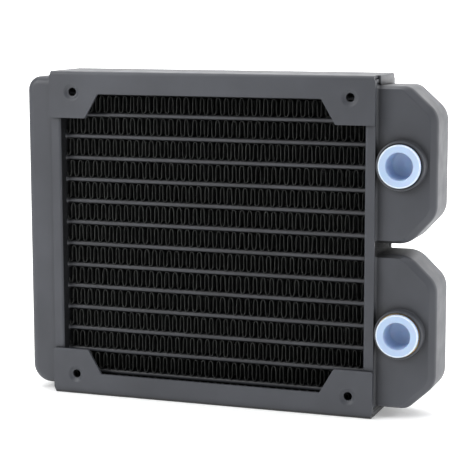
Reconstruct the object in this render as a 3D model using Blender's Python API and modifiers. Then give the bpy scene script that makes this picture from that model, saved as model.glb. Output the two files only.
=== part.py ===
"""Liquid cooling radiator for one 120 mm computer fan: a soldered core of flat tubes and folded fins between
two tube plates, a return tank on the left, an inlet and an outlet tank on the right with G1/4 ports, a side
channel above and below that carries the fan holes, and a transit plug in each port.

Metres, +Z up. The ports and one fan face look along -Y. The origin is under the middle of the bounding box,
on the surface that the radiator stands on. Every part hangs on one empty at the centre of the fan pattern.
"""

import math

import bmesh
import bpy
from mathutils import Matrix, Vector

MM = 0.001
WELD = 0.001 * MM  # points closer than this are one point

# Driving dimensions, in metres. X runs along the tubes, Y through the core, Z across the tubes.
GAP = 0.3 * MM  # left between neighbours that are soldered or rest on each other

FAN_HOLE_SPACING = 105 * MM
FAN_HOLE_RADIUS = 1.5 * MM

TUBE_COUNT = 14
TUBE_PITCH = 8 * MM
TUBE_DEPTH = 15.6 * MM
TUBE_THICKNESS = 1.8 * MM
TUBE_WALL = 0.3 * MM
TUBE_NOSE_SEGMENTS = 4

FIN_HEIGHT = 5.6 * MM
FIN_DEPTH = 16 * MM
FIN_WAVES = 38
FIN_FOIL = 0.1 * MM

SHEET = 1 * MM  # the side channels' metal
BEND_RADIUS = 1.2 * MM
FRAME_LENGTH = 123 * MM
FRAME_DEPTH = 27 * MM
FRAME_HEIGHT = (TUBE_COUNT + 1) * TUBE_PITCH
FLANGE_HEIGHT = 8.1 * MM
TAB_HEIGHT = 17 * MM
TAB_LENGTH_AT_TIP = 14.1 * MM
TAB_LENGTH_AT_FLANGE = 19.3 * MM
HOLE_SEGMENTS = 16
BEND_SEGMENTS = 3

BRASS = 0.8 * MM  # the tube plates' and tanks' metal
PLATE_INNER_X = 57.7 * MM
PLATE_OUTER_X = 61.4 * MM
PLATE_CORNER = 1.2 * MM
TUBE_END_X = 59.4 * MM

TANK_DEPTH = 19 * MM
TANK_EDGE = 1.6 * MM
BRIM_X = PLATE_OUTER_X - 0.5 * MM

RETURN_TANK_X = 72.7 * MM
RETURN_TANK_HEIGHT = 115 * MM
RETURN_TANK_CORNER = 6 * MM

PORT_TANK_X = 82.4 * MM
PORT_TANK_INNER_Z = 2.3 * MM
PORT_TANK_OUTER_Z = 56.5 * MM
PORT_TANK_CHAMFER_X = 10.1 * MM
PORT_TANK_CHAMFER_Z = 9.1 * MM
PORT_TANK_CORNER = 4 * MM
CORNER_SEGMENTS = 4

PORT_X = 70.3 * MM
PORT_Z = (PORT_TANK_INNER_Z + PORT_TANK_OUTER_Z) / 2
PORT_COLLAR_RADIUS = 8.6 * MM
PORT_COLLAR_HEIGHT = 3.3 * MM  # from its back to its front rim
PORT_SEAT_RADIUS = 7.8 * MM
PORT_SEAT_DEPTH = 0.3 * MM  # the sealing face lies this far inside the rim
PORT_NECK_RADIUS = 7.4 * MM
PORT_LENGTH = 10 * MM
THREAD_MINOR_RADIUS = 5.75 * MM  # G1/4, 11.45 mm across its crests
THREAD_LEAD_IN = 0.8 * MM
TURNED_STEPS = 32

PLUG_FLANGE_RADIUS = 7.5 * MM
PLUG_FLANGE_THICKNESS = 1.4 * MM
PLUG_BODY_RADIUS = 5.4 * MM
PLUG_TIP_RADIUS = 5.15 * MM
PLUG_RECESS_RADIUS = 4.85 * MM
PLUG_RECESS_FLOOR_RADIUS = 4.6 * MM
PLUG_RECESS_DEPTH = 8.5 * MM
PLUG_LENGTH = 9.6 * MM

# Places worked out from the dimensions above
HALF_LENGTH = FRAME_LENGTH / 2
HALF_DEPTH = FRAME_DEPTH / 2
HALF_HEIGHT = FRAME_HEIGHT / 2
PLATE_HALF_DEPTH = HALF_DEPTH - SHEET - GAP
PLATE_HALF_HEIGHT = HALF_HEIGHT - SHEET - GAP
BRIM_HALF_DEPTH = PLATE_HALF_DEPTH - BRASS - GAP
BRIM_HALF_HEIGHT = PLATE_HALF_HEIGHT - BRASS - GAP
TANK_FACE_Y = -TANK_DEPTH / 2
COLLAR_BACK_Y = TANK_FACE_Y - GAP
COLLAR_FRONT_Y = COLLAR_BACK_Y - PORT_COLLAR_HEIGHT
SEAT_Y = COLLAR_FRONT_Y + PORT_SEAT_DEPTH
PLUG_BACK_Y = SEAT_Y - GAP
PLUG_FRONT_Y = PLUG_BACK_Y - PLUG_FLANGE_THICKNESS
CENTRE = Vector((
    (RETURN_TANK_X - PORT_TANK_X) / 2,
    -(PLUG_FRONT_Y + HALF_DEPTH) / 2,
    HALF_HEIGHT,
))  # the fan pattern's centre, seen from the origin

# Planes that outlines are drawn in: XZ is extruded along Y, and YZ along X
XZ_PLANE = Matrix.Rotation(math.pi / 2, 4, "X")
YZ_PLANE = Matrix(((0, 0, 1, 0), (1, 0, 0, 0), (0, 1, 0, 0), (0, 0, 0, 1)))
UPSIDE_DOWN = (math.pi, 0, 0)
BACK_TO_FRONT = (0, 0, math.pi)
AXIS_TO_FRONT = (math.pi / 2, 0, 0)  # a turned piece's own +Z looks along -Y

PAINT = ("radiator_paint", (0.045, 0.047, 0.052, 1), 0.5, 0.0)
FIN_PAINT = ("core_paint", (0.012, 0.012, 0.013, 1), 0.6, 0.0)
BARE_BRASS = ("port_brass", (0.62, 0.44, 0.2, 1), 0.3, 1.0)
PLUG_PLASTIC = ("plug_plastic", (0.72, 0.8, 0.92, 1), 0.35, 0.0)


def clear_scene():
    for obj in list(bpy.data.objects):
        bpy.data.objects.remove(obj)


def new_collection(name, hidden=False):
    collection = bpy.data.collections.new(name)
    bpy.context.scene.collection.children.link(collection)
    collection.hide_render = hidden
    return collection


def material(settings):
    name, colour, roughness, metallic = settings
    found = bpy.data.materials.get(name)
    if found:
        return found
    made = bpy.data.materials.new(name)
    made.use_nodes = True
    shader = made.node_tree.nodes["Principled BSDF"]
    shader.inputs["Base Color"].default_value = colour
    shader.inputs["Roughness"].default_value = roughness
    shader.inputs["Metallic"].default_value = metallic
    made.diffuse_color = colour
    return made


def add_part(name, mesh, finish, location=(0, 0, 0), rotation=(0, 0, 0)):
    """A named sub-part on the radiator's empty, at a place seen from the fan pattern's centre."""
    obj = bpy.data.objects.new(name, mesh)
    PARTS.objects.link(obj)
    obj.parent = CORE_CENTRE
    obj.location = location
    obj.rotation_euler = rotation
    if not mesh.materials:
        mesh.materials.append(material(finish))
    return obj


def add_cutter(name, bm):
    obj = bpy.data.objects.new(name, closed_mesh(bm, name))
    CUTTERS.objects.link(obj)
    obj.parent = CORE_CENTRE
    obj.hide_render = True
    obj.display_type = "WIRE"
    return obj


def cut(obj, cutter):
    modifier = obj.modifiers.new(cutter.name, "BOOLEAN")
    modifier.operation = "DIFFERENCE"
    modifier.solver = "EXACT"
    modifier.object = cutter


def solidify(obj, thickness, offset=-1.0):
    modifier = obj.modifiers.new("wall", "SOLIDIFY")
    modifier.thickness = thickness
    modifier.offset = offset
    modifier.use_even_offset = True


def bevel(obj, width, segments, smallest_angle):
    modifier = obj.modifiers.new("rounding", "BEVEL")
    modifier.width = width
    modifier.segments = segments
    modifier.limit_method = "ANGLE"
    modifier.angle_limit = smallest_angle


def to_mesh(bm, name):
    mesh = bpy.data.meshes.new(name)
    bm.to_mesh(mesh)
    bm.free()
    mesh.shade_smooth()
    mesh.set_sharp_from_angle(angle=math.radians(30))
    return mesh


def closed_mesh(bm, name):
    bmesh.ops.recalc_face_normals(bm, faces=bm.faces)
    return to_mesh(bm, name)


def open_mesh(bm, name, inside):
    """An open sheet whose faces look away from a point on its inner side."""
    bmesh.ops.recalc_face_normals(bm, faces=bm.faces)
    bm.normal_update()
    outward = sum((f.calc_center_median() - inside).dot(f.normal) * f.calc_area() for f in bm.faces)
    if outward < 0:
        bmesh.ops.reverse_faces(bm, faces=bm.faces)
    return to_mesh(bm, name)


def extruded_outlines(outlines, width, plane, filled=False, closed=True):
    """The outlines as one flat curve, extruded to both sides of its plane by half the width, as a bmesh."""
    curve = bpy.data.curves.new("outline", "CURVE")
    curve.dimensions = "2D"
    curve.fill_mode = "BOTH" if filled else "NONE"
    curve.extrude = width / 2
    for outline in outlines:
        spline = curve.splines.new("POLY")
        spline.points.add(len(outline) - 1)
        for point, (across, up) in zip(spline.points, outline):
            point.co = (across, up, 0, 1)
        spline.use_cyclic_u = closed
    drawn = bpy.data.objects.new("outline", curve)
    CUTTERS.objects.link(drawn)
    drawn.matrix_world = plane
    bpy.context.view_layer.update()
    evaluated = drawn.evaluated_get(bpy.context.evaluated_depsgraph_get())
    bm = bmesh.new()
    bm.from_mesh(bpy.data.meshes.new_from_object(evaluated))
    bmesh.ops.remove_doubles(bm, verts=bm.verts, dist=WELD)
    bmesh.ops.transform(bm, matrix=drawn.matrix_world, verts=bm.verts)
    bpy.data.objects.remove(drawn)
    if filled:
        bmesh.ops.dissolve_limit(bm, angle_limit=math.radians(1), verts=bm.verts, edges=bm.edges)
    return bm


def rounded_outline(corners, segments):
    """Points of a polygon whose corners, given as (across, up, radius), are rounded by arcs."""
    points = []
    for i, (across, up, radius) in enumerate(corners):
        here = Vector((across, up))
        if radius == 0:
            points.append(here)
            continue
        to_before = (Vector(corners[i - 1][:2]) - here).normalized()
        to_after = (Vector(corners[(i + 1) % len(corners)][:2]) - here).normalized()
        half_angle = to_before.angle(to_after) / 2
        middle = here + (to_before + to_after).normalized() * radius / math.sin(half_angle)
        start = here + to_before * radius / math.tan(half_angle) - middle
        end = here + to_after * radius / math.tan(half_angle) - middle
        sweep = math.atan2(start.cross(end), start.dot(end))
        for step in range(segments + 1):
            points.append(middle + Matrix.Rotation(sweep * step / segments, 2) @ start)
    return points


def stadium(depth, thickness, height):
    """Points round a flat tube's section at a height, with half-round noses."""
    radius = thickness / 2
    flat = depth / 2 - radius
    points = []
    for side in (1, -1):
        for step in range(TUBE_NOSE_SEGMENTS + 1):
            angle = math.pi * step / TUBE_NOSE_SEGMENTS
            across = side * (flat + radius * math.sin(angle))
            points.append((across, height + side * radius * math.cos(angle)))
    return points


def turned_mesh(name, profile):
    """A profile of (radius, y) points, down the outside from front to back, for screw_round to turn."""
    bm = bmesh.new()
    verts = [bm.verts.new((radius, 0, -y)) for radius, y in profile]
    for pair in zip(verts, verts[1:]):
        bm.edges.new(pair)
    if profile[0][0] > 0:
        bm.edges.new((verts[-1], verts[0]))
    mesh = bpy.data.meshes.new(name)
    bm.to_mesh(mesh)
    bm.free()
    return mesh


def screw_round(obj):
    modifier = obj.modifiers.new("turned", "SCREW")
    modifier.axis = "Z"
    modifier.steps = TURNED_STEPS
    modifier.render_steps = TURNED_STEPS
    modifier.use_merge_vertices = True
    modifier.merge_threshold = WELD
    modifier.use_smooth_shade = True


def add_cylinder(bm, radius, length, centre, segments):
    """A cylinder that lies along Y."""
    bmesh.ops.create_cone(
        bm,
        cap_ends=True,
        segments=segments,
        radius1=radius,
        radius2=radius,
        depth=length,
        matrix=Matrix.Translation(centre) @ XZ_PLANE,
    )


def side_channel_mesh():
    """The sheet over the core before it is bent round: a web, and a flange down the front and the back."""
    tip = HALF_HEIGHT - TAB_HEIGHT
    profile = (
        (-HALF_DEPTH, tip),
        (-HALF_DEPTH, HALF_HEIGHT),
        (HALF_DEPTH, HALF_HEIGHT),
        (HALF_DEPTH, tip),
    )
    bm = extruded_outlines([profile], FRAME_LENGTH, YZ_PLANE, closed=False)
    return open_mesh(bm, "side_channel", inside=Vector((0, 0, tip)))


def fan_window():
    """The opening in front of the core, with a slanted fan tab left in each of its corners."""
    top_z = HALF_HEIGHT - FLANGE_HEIGHT
    top_x = HALF_LENGTH - TAB_LENGTH_AT_FLANGE
    slope = (TAB_LENGTH_AT_FLANGE - TAB_LENGTH_AT_TIP) / (TAB_HEIGHT - FLANGE_HEIGHT)
    past_tip = 4 * MM
    low_z = HALF_HEIGHT - TAB_HEIGHT - past_tip
    low_x = HALF_LENGTH - TAB_LENGTH_AT_TIP + slope * past_tip
    outline = (
        (-top_x, top_z), (top_x, top_z), (low_x, low_z), (low_x, -low_z),
        (top_x, -top_z), (-top_x, -top_z), (-low_x, -low_z), (-low_x, low_z),
    )
    return add_cutter("fan_window", extruded_outlines([outline], 2 * FRAME_DEPTH, XZ_PLANE, filled=True))


def fan_holes():
    """The four fan holes, through the front and back flanges."""
    bm = bmesh.new()
    offset = FAN_HOLE_SPACING / 2
    for x in (-offset, offset):
        for z in (-offset, offset):
            add_cylinder(bm, FAN_HOLE_RADIUS, 2 * FRAME_DEPTH, Vector((x, 0, z)), HOLE_SEGMENTS)
    return add_cutter("fan_holes", bm)


def build_side_channels():
    window = fan_window()
    holes = fan_holes()
    mesh = side_channel_mesh()
    for name, rotation in (("side_channel_top", (0, 0, 0)), ("side_channel_bottom", UPSIDE_DOWN)):
        channel = add_part(name, mesh, PAINT, rotation=rotation)
        bevel(channel, BEND_RADIUS, BEND_SEGMENTS, math.radians(60))
        solidify(channel, SHEET)
        cut(channel, window)
        cut(channel, holes)


def tube_heights():
    lowest = -(TUBE_COUNT - 1) / 2 * TUBE_PITCH
    return [lowest + i * TUBE_PITCH for i in range(TUBE_COUNT)]


def build_tubes():
    """Flat water tubes, open at both ends, numbered from the bottom."""
    section = stadium(TUBE_DEPTH, TUBE_THICKNESS, 0)
    bm = extruded_outlines([section], 2 * TUBE_END_X, YZ_PLANE)
    mesh = open_mesh(bm, "flat_tube", inside=Vector((0, 0, 0)))
    for number, z in enumerate(tube_heights(), 1):
        tube = add_part(f"flat_tube_{number:02d}", mesh, PAINT, location=(0, 0, z))
        solidify(tube, TUBE_WALL)


def fin_mesh():
    """The middle of one strip of foil that is folded up and down between two tubes."""
    fold_count = 2 * FIN_WAVES
    length = 2 * (PLATE_INNER_X - GAP - FIN_FOIL)
    fold_pitch = length / fold_count
    lean = math.atan(fold_pitch / FIN_HEIGHT)
    mitre = FIN_FOIL / 2 / math.sin(lean)  # the foil's outer side stands this far past its middle at a fold
    rise = FIN_HEIGHT / 2 - mitre
    zigzag = [(-length / 2 + i * fold_pitch, rise if i % 2 else -rise) for i in range(fold_count + 1)]
    bm = extruded_outlines([zigzag], FIN_DEPTH, XZ_PLANE, closed=False)
    bmesh.ops.recalc_face_normals(bm, faces=bm.faces)
    return to_mesh(bm, "fin_strip")


def build_fins():
    """A fin strip under, between and over the tubes, numbered from the bottom."""
    mesh = fin_mesh()
    lowest = -TUBE_COUNT / 2 * TUBE_PITCH
    for i in range(TUBE_COUNT + 1):
        place = (0, 0, lowest + i * TUBE_PITCH)
        strip = add_part(f"fin_strip_{i + 1:02d}", mesh, FIN_PAINT, place)
        solidify(strip, FIN_FOIL, offset=0)


def tube_plate_mesh():
    """A shallow tray at the +X end, open away from the core."""
    bm = bmesh.new()
    size = Vector((PLATE_OUTER_X - PLATE_INNER_X, 2 * PLATE_HALF_DEPTH, 2 * PLATE_HALF_HEIGHT))
    middle = Vector(((PLATE_INNER_X + PLATE_OUTER_X) / 2, 0, 0))
    bmesh.ops.create_cube(bm, size=1, matrix=Matrix.Translation(middle) @ Matrix.Diagonal(size.to_4d()))
    mouth = max(bm.faces, key=lambda face: face.calc_center_median().x)
    bmesh.ops.delete(bm, geom=[mouth], context="FACES_ONLY")
    return to_mesh(bm, "tube_plate")


def tube_slots():
    """The slots that the tubes pass through, from one tube plate to the other."""
    past_plate = 2 * MM
    sections = [stadium(TUBE_DEPTH + 2 * GAP, TUBE_THICKNESS + 2 * GAP, z) for z in tube_heights()]
    length = 2 * (PLATE_INNER_X + past_plate)
    return add_cutter("tube_slots", extruded_outlines(sections, length, YZ_PLANE, filled=True))


def build_tube_plates():
    slots = tube_slots()
    mesh = tube_plate_mesh()
    for name, rotation in (("tube_plate_right", (0, 0, 0)), ("tube_plate_left", BACK_TO_FRONT)):
        plate = add_part(name, mesh, PAINT, rotation=rotation)
        bevel(plate, PLATE_CORNER, 2, math.radians(60))
        solidify(plate, BRASS)
        cut(plate, slots)


def tank_mesh(name, outline, brim_low_z, brim_high_z):
    """A pressed tank shell at +X: the outline's prism, open towards the core, with a brim round its mouth."""
    bm = extruded_outlines([outline], TANK_DEPTH, XZ_PLANE, filled=True)
    mouth = [face for face in bm.faces if all(abs(vert.co.x - BRIM_X) < WELD for vert in face.verts)]
    bmesh.ops.delete(bm, geom=mouth, context="FACES_ONLY")
    square = math.radians(80)
    rims = [e for e in bm.edges if e.is_manifold and e.calc_face_angle() > square and runs_across_y(e)]
    bmesh.ops.bevel(bm, geom=rims, offset=TANK_EDGE, segments=3, profile=0.5, affect="EDGES")
    widen_into_brim(bm, brim_low_z, brim_high_z)
    return open_mesh(bm, name, inside=Vector((BRIM_X, 0, (brim_low_z + brim_high_z) / 2)))


def runs_across_y(edge):
    return abs(edge.verts[0].co.y - edge.verts[1].co.y) < WELD


def widen_into_brim(bm, low_z, high_z):
    """Turns the open edge outwards, to a flat brim between two heights and as deep as the plate takes."""
    root = [edge for edge in bm.edges if edge.is_boundary]
    root_z = [vert.co.z for edge in root for vert in edge.verts]
    middle_z = (min(root_z) + max(root_z)) / 2
    half_z = max(root_z) - middle_z
    made = bmesh.ops.extrude_edge_only(bm, edges=root)
    for vert in (item for item in made["geom"] if isinstance(item, bmesh.types.BMVert)):
        reach = high_z - middle_z if vert.co.z > middle_z else middle_z - low_z
        vert.co.z = middle_z + (vert.co.z - middle_z) * reach / half_z
        vert.co.y *= BRIM_HALF_DEPTH / (TANK_DEPTH / 2)


def port_tank_outline():
    """The inlet tank from the front: square at the plate, with two broad chamfers at its far end."""
    low = PORT_TANK_INNER_Z
    high = PORT_TANK_OUTER_Z
    shoulder_x = PORT_TANK_X - PORT_TANK_CHAMFER_X
    corners = (
        (BRIM_X, low, 0),
        (BRIM_X, high, 0),
        (shoulder_x, high, PORT_TANK_CORNER),
        (PORT_TANK_X, high - PORT_TANK_CHAMFER_Z, PORT_TANK_CORNER),
        (PORT_TANK_X, low + PORT_TANK_CHAMFER_Z, PORT_TANK_CORNER),
        (shoulder_x, low, PORT_TANK_CORNER),
    )
    return rounded_outline(corners, CORNER_SEGMENTS)


def return_tank_outline():
    """The return tank, drawn at +X: a rectangle with two rounded far corners."""
    half = RETURN_TANK_HEIGHT / 2
    corners = (
        (BRIM_X, -half, 0),
        (BRIM_X, half, 0),
        (RETURN_TANK_X, half, RETURN_TANK_CORNER),
        (RETURN_TANK_X, -half, RETURN_TANK_CORNER),
    )
    return rounded_outline(corners, 2 * CORNER_SEGMENTS)


def port_holes():
    """The holes in the two port tanks' front faces, which the bushings are soldered into."""
    bm = bmesh.new()
    length = 4 * MM
    for z in (PORT_Z, -PORT_Z):
        centre = Vector((PORT_X, TANK_FACE_Y, z))
        add_cylinder(bm, PORT_NECK_RADIUS + GAP, length, centre, TURNED_STEPS)
    return add_cutter("port_holes", bm)


def build_tanks():
    holes = port_holes()
    mesh = tank_mesh("port_tank", port_tank_outline(), GAP, BRIM_HALF_HEIGHT)
    for name, rotation in (("inlet_tank", (0, 0, 0)), ("outlet_tank", UPSIDE_DOWN)):
        tank = add_part(name, mesh, PAINT, rotation=rotation)
        solidify(tank, BRASS)
        cut(tank, holes)
    shell = tank_mesh("return_tank", return_tank_outline(), -BRIM_HALF_HEIGHT, BRIM_HALF_HEIGHT)
    solidify(add_part("return_tank", shell, PAINT, rotation=BACK_TO_FRONT), BRASS)


def port_bushing_mesh():
    """A G1/4 bushing: a collar on the tank's face, a neck through it, and a bore at the thread's crests."""
    edge = 0.4 * MM
    back = COLLAR_FRONT_Y + PORT_LENGTH
    profile = (
        (PORT_SEAT_RADIUS, COLLAR_FRONT_Y),
        (PORT_COLLAR_RADIUS - edge, COLLAR_FRONT_Y),
        (PORT_COLLAR_RADIUS, COLLAR_FRONT_Y + edge),
        (PORT_COLLAR_RADIUS, COLLAR_BACK_Y),
        (PORT_NECK_RADIUS, COLLAR_BACK_Y),
        (PORT_NECK_RADIUS, back),
        (THREAD_MINOR_RADIUS, back),
        (THREAD_MINOR_RADIUS, SEAT_Y + THREAD_LEAD_IN),
        (THREAD_MINOR_RADIUS + THREAD_LEAD_IN, SEAT_Y),
        (PORT_SEAT_RADIUS, SEAT_Y),
    )
    return turned_mesh("port_bushing", profile)


def transit_plug_mesh():
    """A push-in plastic cup with a broad flange."""
    floor = PLUG_FRONT_Y + PLUG_RECESS_DEPTH
    tip = PLUG_FRONT_Y + PLUG_LENGTH
    profile = (
        (0, floor),
        (PLUG_RECESS_FLOOR_RADIUS, floor),
        (PLUG_RECESS_RADIUS, PLUG_FRONT_Y),
        (PLUG_FLANGE_RADIUS, PLUG_FRONT_Y),
        (PLUG_FLANGE_RADIUS, PLUG_BACK_Y),
        (PLUG_BODY_RADIUS, PLUG_BACK_Y),
        (PLUG_TIP_RADIUS, tip),
        (0, tip),
    )
    return turned_mesh("transit_plug", profile)


def build_ports():
    """A bushing and its plug in each port tank, each with its origin on the port's axis."""
    bushing = port_bushing_mesh()
    plug = transit_plug_mesh()
    for port, z in (("inlet", PORT_Z), ("outlet", -PORT_Z)):
        place = (PORT_X, 0, z)
        screw_round(add_part(f"{port}_port_bushing", bushing, BARE_BRASS, place, AXIS_TO_FRONT))
        screw_round(add_part(f"{port}_transit_plug", plug, PLUG_PLASTIC, place, AXIS_TO_FRONT))


clear_scene()
PARTS = new_collection("liquid_cooling_radiator")
CUTTERS = new_collection("cutters", hidden=True)
CORE_CENTRE = bpy.data.objects.new("core_centre", None)
PARTS.objects.link(CORE_CENTRE)
CORE_CENTRE.location = CENTRE

build_side_channels()
build_tube_plates()
build_tubes()
build_fins()
build_tanks()
build_ports()
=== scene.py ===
"""The looks of the liquid cooling radiator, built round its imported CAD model.

Lengths are in millimetres, seen from the fan pattern's centre: X runs along the tubes, Y goes back through
the core, and Z goes up across the tubes. place() turns them into metres in the row frame. Every CAD node is
replaced by a finer piece in the same place. To follow the photo, the tanks' outlines depart from the CAD's by
up to about 0.7 mm, the port seats lie 0.5 mm deeper and the lower plug stands 0.4 mm further forward.
"""

import math
import random

import bmesh
import bpy
from mathutils import Matrix, Vector


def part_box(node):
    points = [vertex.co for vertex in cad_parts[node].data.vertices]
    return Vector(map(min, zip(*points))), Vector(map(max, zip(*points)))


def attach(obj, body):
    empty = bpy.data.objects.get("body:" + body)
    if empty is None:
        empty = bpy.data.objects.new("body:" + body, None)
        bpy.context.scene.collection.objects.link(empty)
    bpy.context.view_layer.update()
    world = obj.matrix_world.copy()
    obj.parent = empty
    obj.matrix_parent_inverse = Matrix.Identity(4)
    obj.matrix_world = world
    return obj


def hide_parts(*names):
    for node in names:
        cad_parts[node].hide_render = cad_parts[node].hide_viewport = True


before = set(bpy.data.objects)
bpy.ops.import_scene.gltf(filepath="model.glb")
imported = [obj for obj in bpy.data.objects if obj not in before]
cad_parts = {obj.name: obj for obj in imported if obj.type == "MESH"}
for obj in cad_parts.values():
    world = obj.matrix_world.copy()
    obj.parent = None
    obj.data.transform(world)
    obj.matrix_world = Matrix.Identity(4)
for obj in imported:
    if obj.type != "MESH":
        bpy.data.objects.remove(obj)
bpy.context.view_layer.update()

MM = 0.001
WELD = 0.001
random.seed(7)

# The frame's sizes
TOP_LOW, TOP_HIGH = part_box("side_channel_top")
CENTRE = Vector(((TOP_LOW.x + TOP_HIGH.x) / 2, (TOP_LOW.y + TOP_HIGH.y) / 2, TOP_HIGH.z / 2))


def local_box(node):
    """A CAD node's lowest and highest corners, in millimetres from the fan pattern's centre."""
    low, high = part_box(node)
    return (low - CENTRE) / MM, (high - CENTRE) / MM


HALF_LENGTH, HALF_DEPTH, HALF_HEIGHT = local_box("side_channel_top")[1]
TAB_TIP_Z = local_box("side_channel_top")[0].z
PLATE_LOW, PLATE_HIGH = local_box("tube_plate_right")
TUBES = sorted(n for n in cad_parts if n.startswith("flat_tube"))
FINS = sorted(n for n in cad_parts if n.startswith("fin_strip"))
FIN_LOW = local_box(FINS[0])[0]
TANK_LOW, TANK_HIGH = local_box("inlet_tank")
RETURN_LOW = local_box("return_tank")[0]
COLLAR_LOW, COLLAR_HIGH = local_box("inlet_port_bushing")
PLUG_LOW = local_box("inlet_transit_plug")[0]
PORT_X = (COLLAR_LOW.x + COLLAR_HIGH.x) / 2
PORT_Z = (COLLAR_LOW.z + COLLAR_HIGH.z) / 2

# Side channels
FAN_HOLE_OFFSET = 52.5
HOLE_RADIUS = 1.5
DIMPLE_RADIUS = 3.3
DIMPLE_DEPTH = 0.7
SHEET = 1.0
BEND_RADIUS = 1.2
BEND_STEPS = 6
FLANGE_EDGE_Z = 51.9
TAB_SLANT_TOP_X = 42.2
TAB_SLANT_TIP_X = 47.4
CIRCLE_STEPS = 48
FLAP_HEIGHT = 3.8
FLAP_FRONT = 5.5
FLAP_BACK = 2.5

# Tanks
BRASS = 0.8
TANK_HALF_DEPTH = 9.5
BRIM_X = PLATE_HIGH.x - 0.5
NECK_FILLET = 1.1
PORT_TANK_LOW_Z = 1.9
PORT_TANK_HIGH_Z = 56.5
OUTER_CHAMFER = (10.1, 9.1)
UPPER_INNER_CHAMFER = (9.7, 10.5)
LOWER_INNER_CHAMFER = (10.0, 9.6)
LOWER_TANK_REACH = 0.4
PORT_TANK_SHOULDER_RADIUS = 5.0
PORT_TANK_INNER_RADIUS = 9.0
PORT_TANK_FAR_RADIUS = 8.0
PORT_TANK_RIM_SHARES = (0, 0.45, 1, 1, 1, 0.45)
RETURN_TANK_HALF_Z = 57.8
RETURN_TANK_TOP_CORNER = 5.2
RETURN_TANK_LOW_CORNER = 7.0
GAP_HALF = 3.6

# Ports and plugs
THREAD_MINOR = 5.75
THREAD_DEPTH = 0.83
THREAD_PITCH = 1.337
SEAT_RADIUS = 7.8
SEAT_DEPTH = 0.8
NECK_RADIUS = 7.4
HOLE_CLEARANCE = 0.3

BODY = "radiator"


# ---------------------------------------------------------------- geometry helpers


def place(name, bm, materials, body, nodes, smooth_angle=35):
    """Makes a piece of a mesh in local millimetres, and rides it on its body in place of CAD nodes."""
    bmesh.ops.transform(bm, matrix=Matrix.Translation(CENTRE) @ Matrix.Scale(MM, 4), verts=bm.verts)
    mesh = bpy.data.meshes.new(name)
    bm.to_mesh(mesh)
    bm.free()
    mesh.shade_smooth()
    mesh.set_sharp_from_angle(angle=math.radians(smooth_angle))
    for finish in materials:
        mesh.materials.append(finish)
    piece = bpy.data.objects.new(name, mesh)
    bpy.context.scene.collection.objects.link(piece)
    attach(piece, body)
    if nodes:
        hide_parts(*nodes)
    return piece


def thicken(piece, thickness):
    modifier = piece.modifiers.new("wall", "SOLIDIFY")
    modifier.thickness = thickness * MM
    modifier.offset = -1
    modifier.use_even_offset = True


def break_edges(piece, width, segments=2, smallest_angle=70):
    modifier = piece.modifiers.new("broken edges", "BEVEL")
    modifier.width = width * MM
    modifier.segments = segments
    modifier.limit_method = "ANGLE"
    modifier.angle_limit = math.radians(smallest_angle)
    modifier.harden_normals = False


def even_shading(piece):
    """Lets the large flat faces set the normals along the bends next to them."""
    modifier = piece.modifiers.new("even shading", "WEIGHTED_NORMAL")
    modifier.keep_sharp = True


def rounded_outline(corners, segments):
    """Points of a polygon whose corners, given as (across, up, radius), are rounded by arcs."""
    points = []
    for i, (across, up, radius) in enumerate(corners):
        here = Vector((across, up))
        if radius == 0:
            points.append(here)
            continue
        to_before = (Vector(corners[i - 1][:2]) - here).normalized()
        to_after = (Vector(corners[(i + 1) % len(corners)][:2]) - here).normalized()
        half_angle = to_before.angle(to_after) / 2
        middle = here + (to_before + to_after).normalized() * radius / math.sin(half_angle)
        start = here + to_before * radius / math.tan(half_angle) - middle
        end = here + to_after * radius / math.tan(half_angle) - middle
        sweep = math.atan2(start.cross(end), start.dot(end))
        for step in range(segments + 1):
            points.append(middle + Matrix.Rotation(sweep * step / segments, 2) @ start)
    return points


def circle(centre, radius, steps=CIRCLE_STEPS):
    turns = (2 * math.pi * i / steps for i in range(steps))
    return [Vector((centre[0] + radius * math.cos(a), centre[1] + radius * math.sin(a))) for a in turns]


def flat_fill(outlines):
    """A flat face in the XY plane inside the first outline and outside the others, as a bmesh."""
    curve = bpy.data.curves.new("outline", "CURVE")
    curve.dimensions = "2D"
    curve.fill_mode = "BOTH"
    for outline in outlines:
        spline = curve.splines.new("POLY")
        spline.points.add(len(outline) - 1)
        for point, (across, up) in zip(spline.points, outline):
            point.co = (across, up, 0, 1)
        spline.use_cyclic_u = True
    drawn = bpy.data.objects.new("outline", curve)
    bpy.context.scene.collection.objects.link(drawn)
    bpy.context.view_layer.update()
    evaluated = drawn.evaluated_get(bpy.context.evaluated_depsgraph_get())
    bm = bmesh.new()
    bm.from_mesh(bpy.data.meshes.new_from_object(evaluated))
    bmesh.ops.remove_doubles(bm, verts=bm.verts, dist=WELD)
    bpy.data.objects.remove(drawn)
    return bm


def loft(bm, rings, skip=(), cap_first=False, cap_last=False):
    """Quads between neighbouring closed rings of points, apart from the skipped sides, and flat caps."""
    rows = [[bm.verts.new(point) for point in ring] for ring in rings]
    count = len(rows[0])
    for row, after in zip(rows, rows[1:]):
        for i in range(count):
            j = (i + 1) % count
            if i not in skip:
                bm.faces.new((row[i], row[j], after[j], after[i]))
    if cap_first:
        bm.faces.new(rows[0][::-1])
    if cap_last:
        bm.faces.new(rows[-1])
    return rows


def face_away_from(bm, inside):
    bmesh.ops.recalc_face_normals(bm, faces=bm.faces)
    bm.normal_update()
    outward = sum((f.calc_center_median() - inside).dot(f.normal) * f.calc_area() for f in bm.faces)
    if outward < 0:
        bmesh.ops.reverse_faces(bm, faces=bm.faces)


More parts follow.
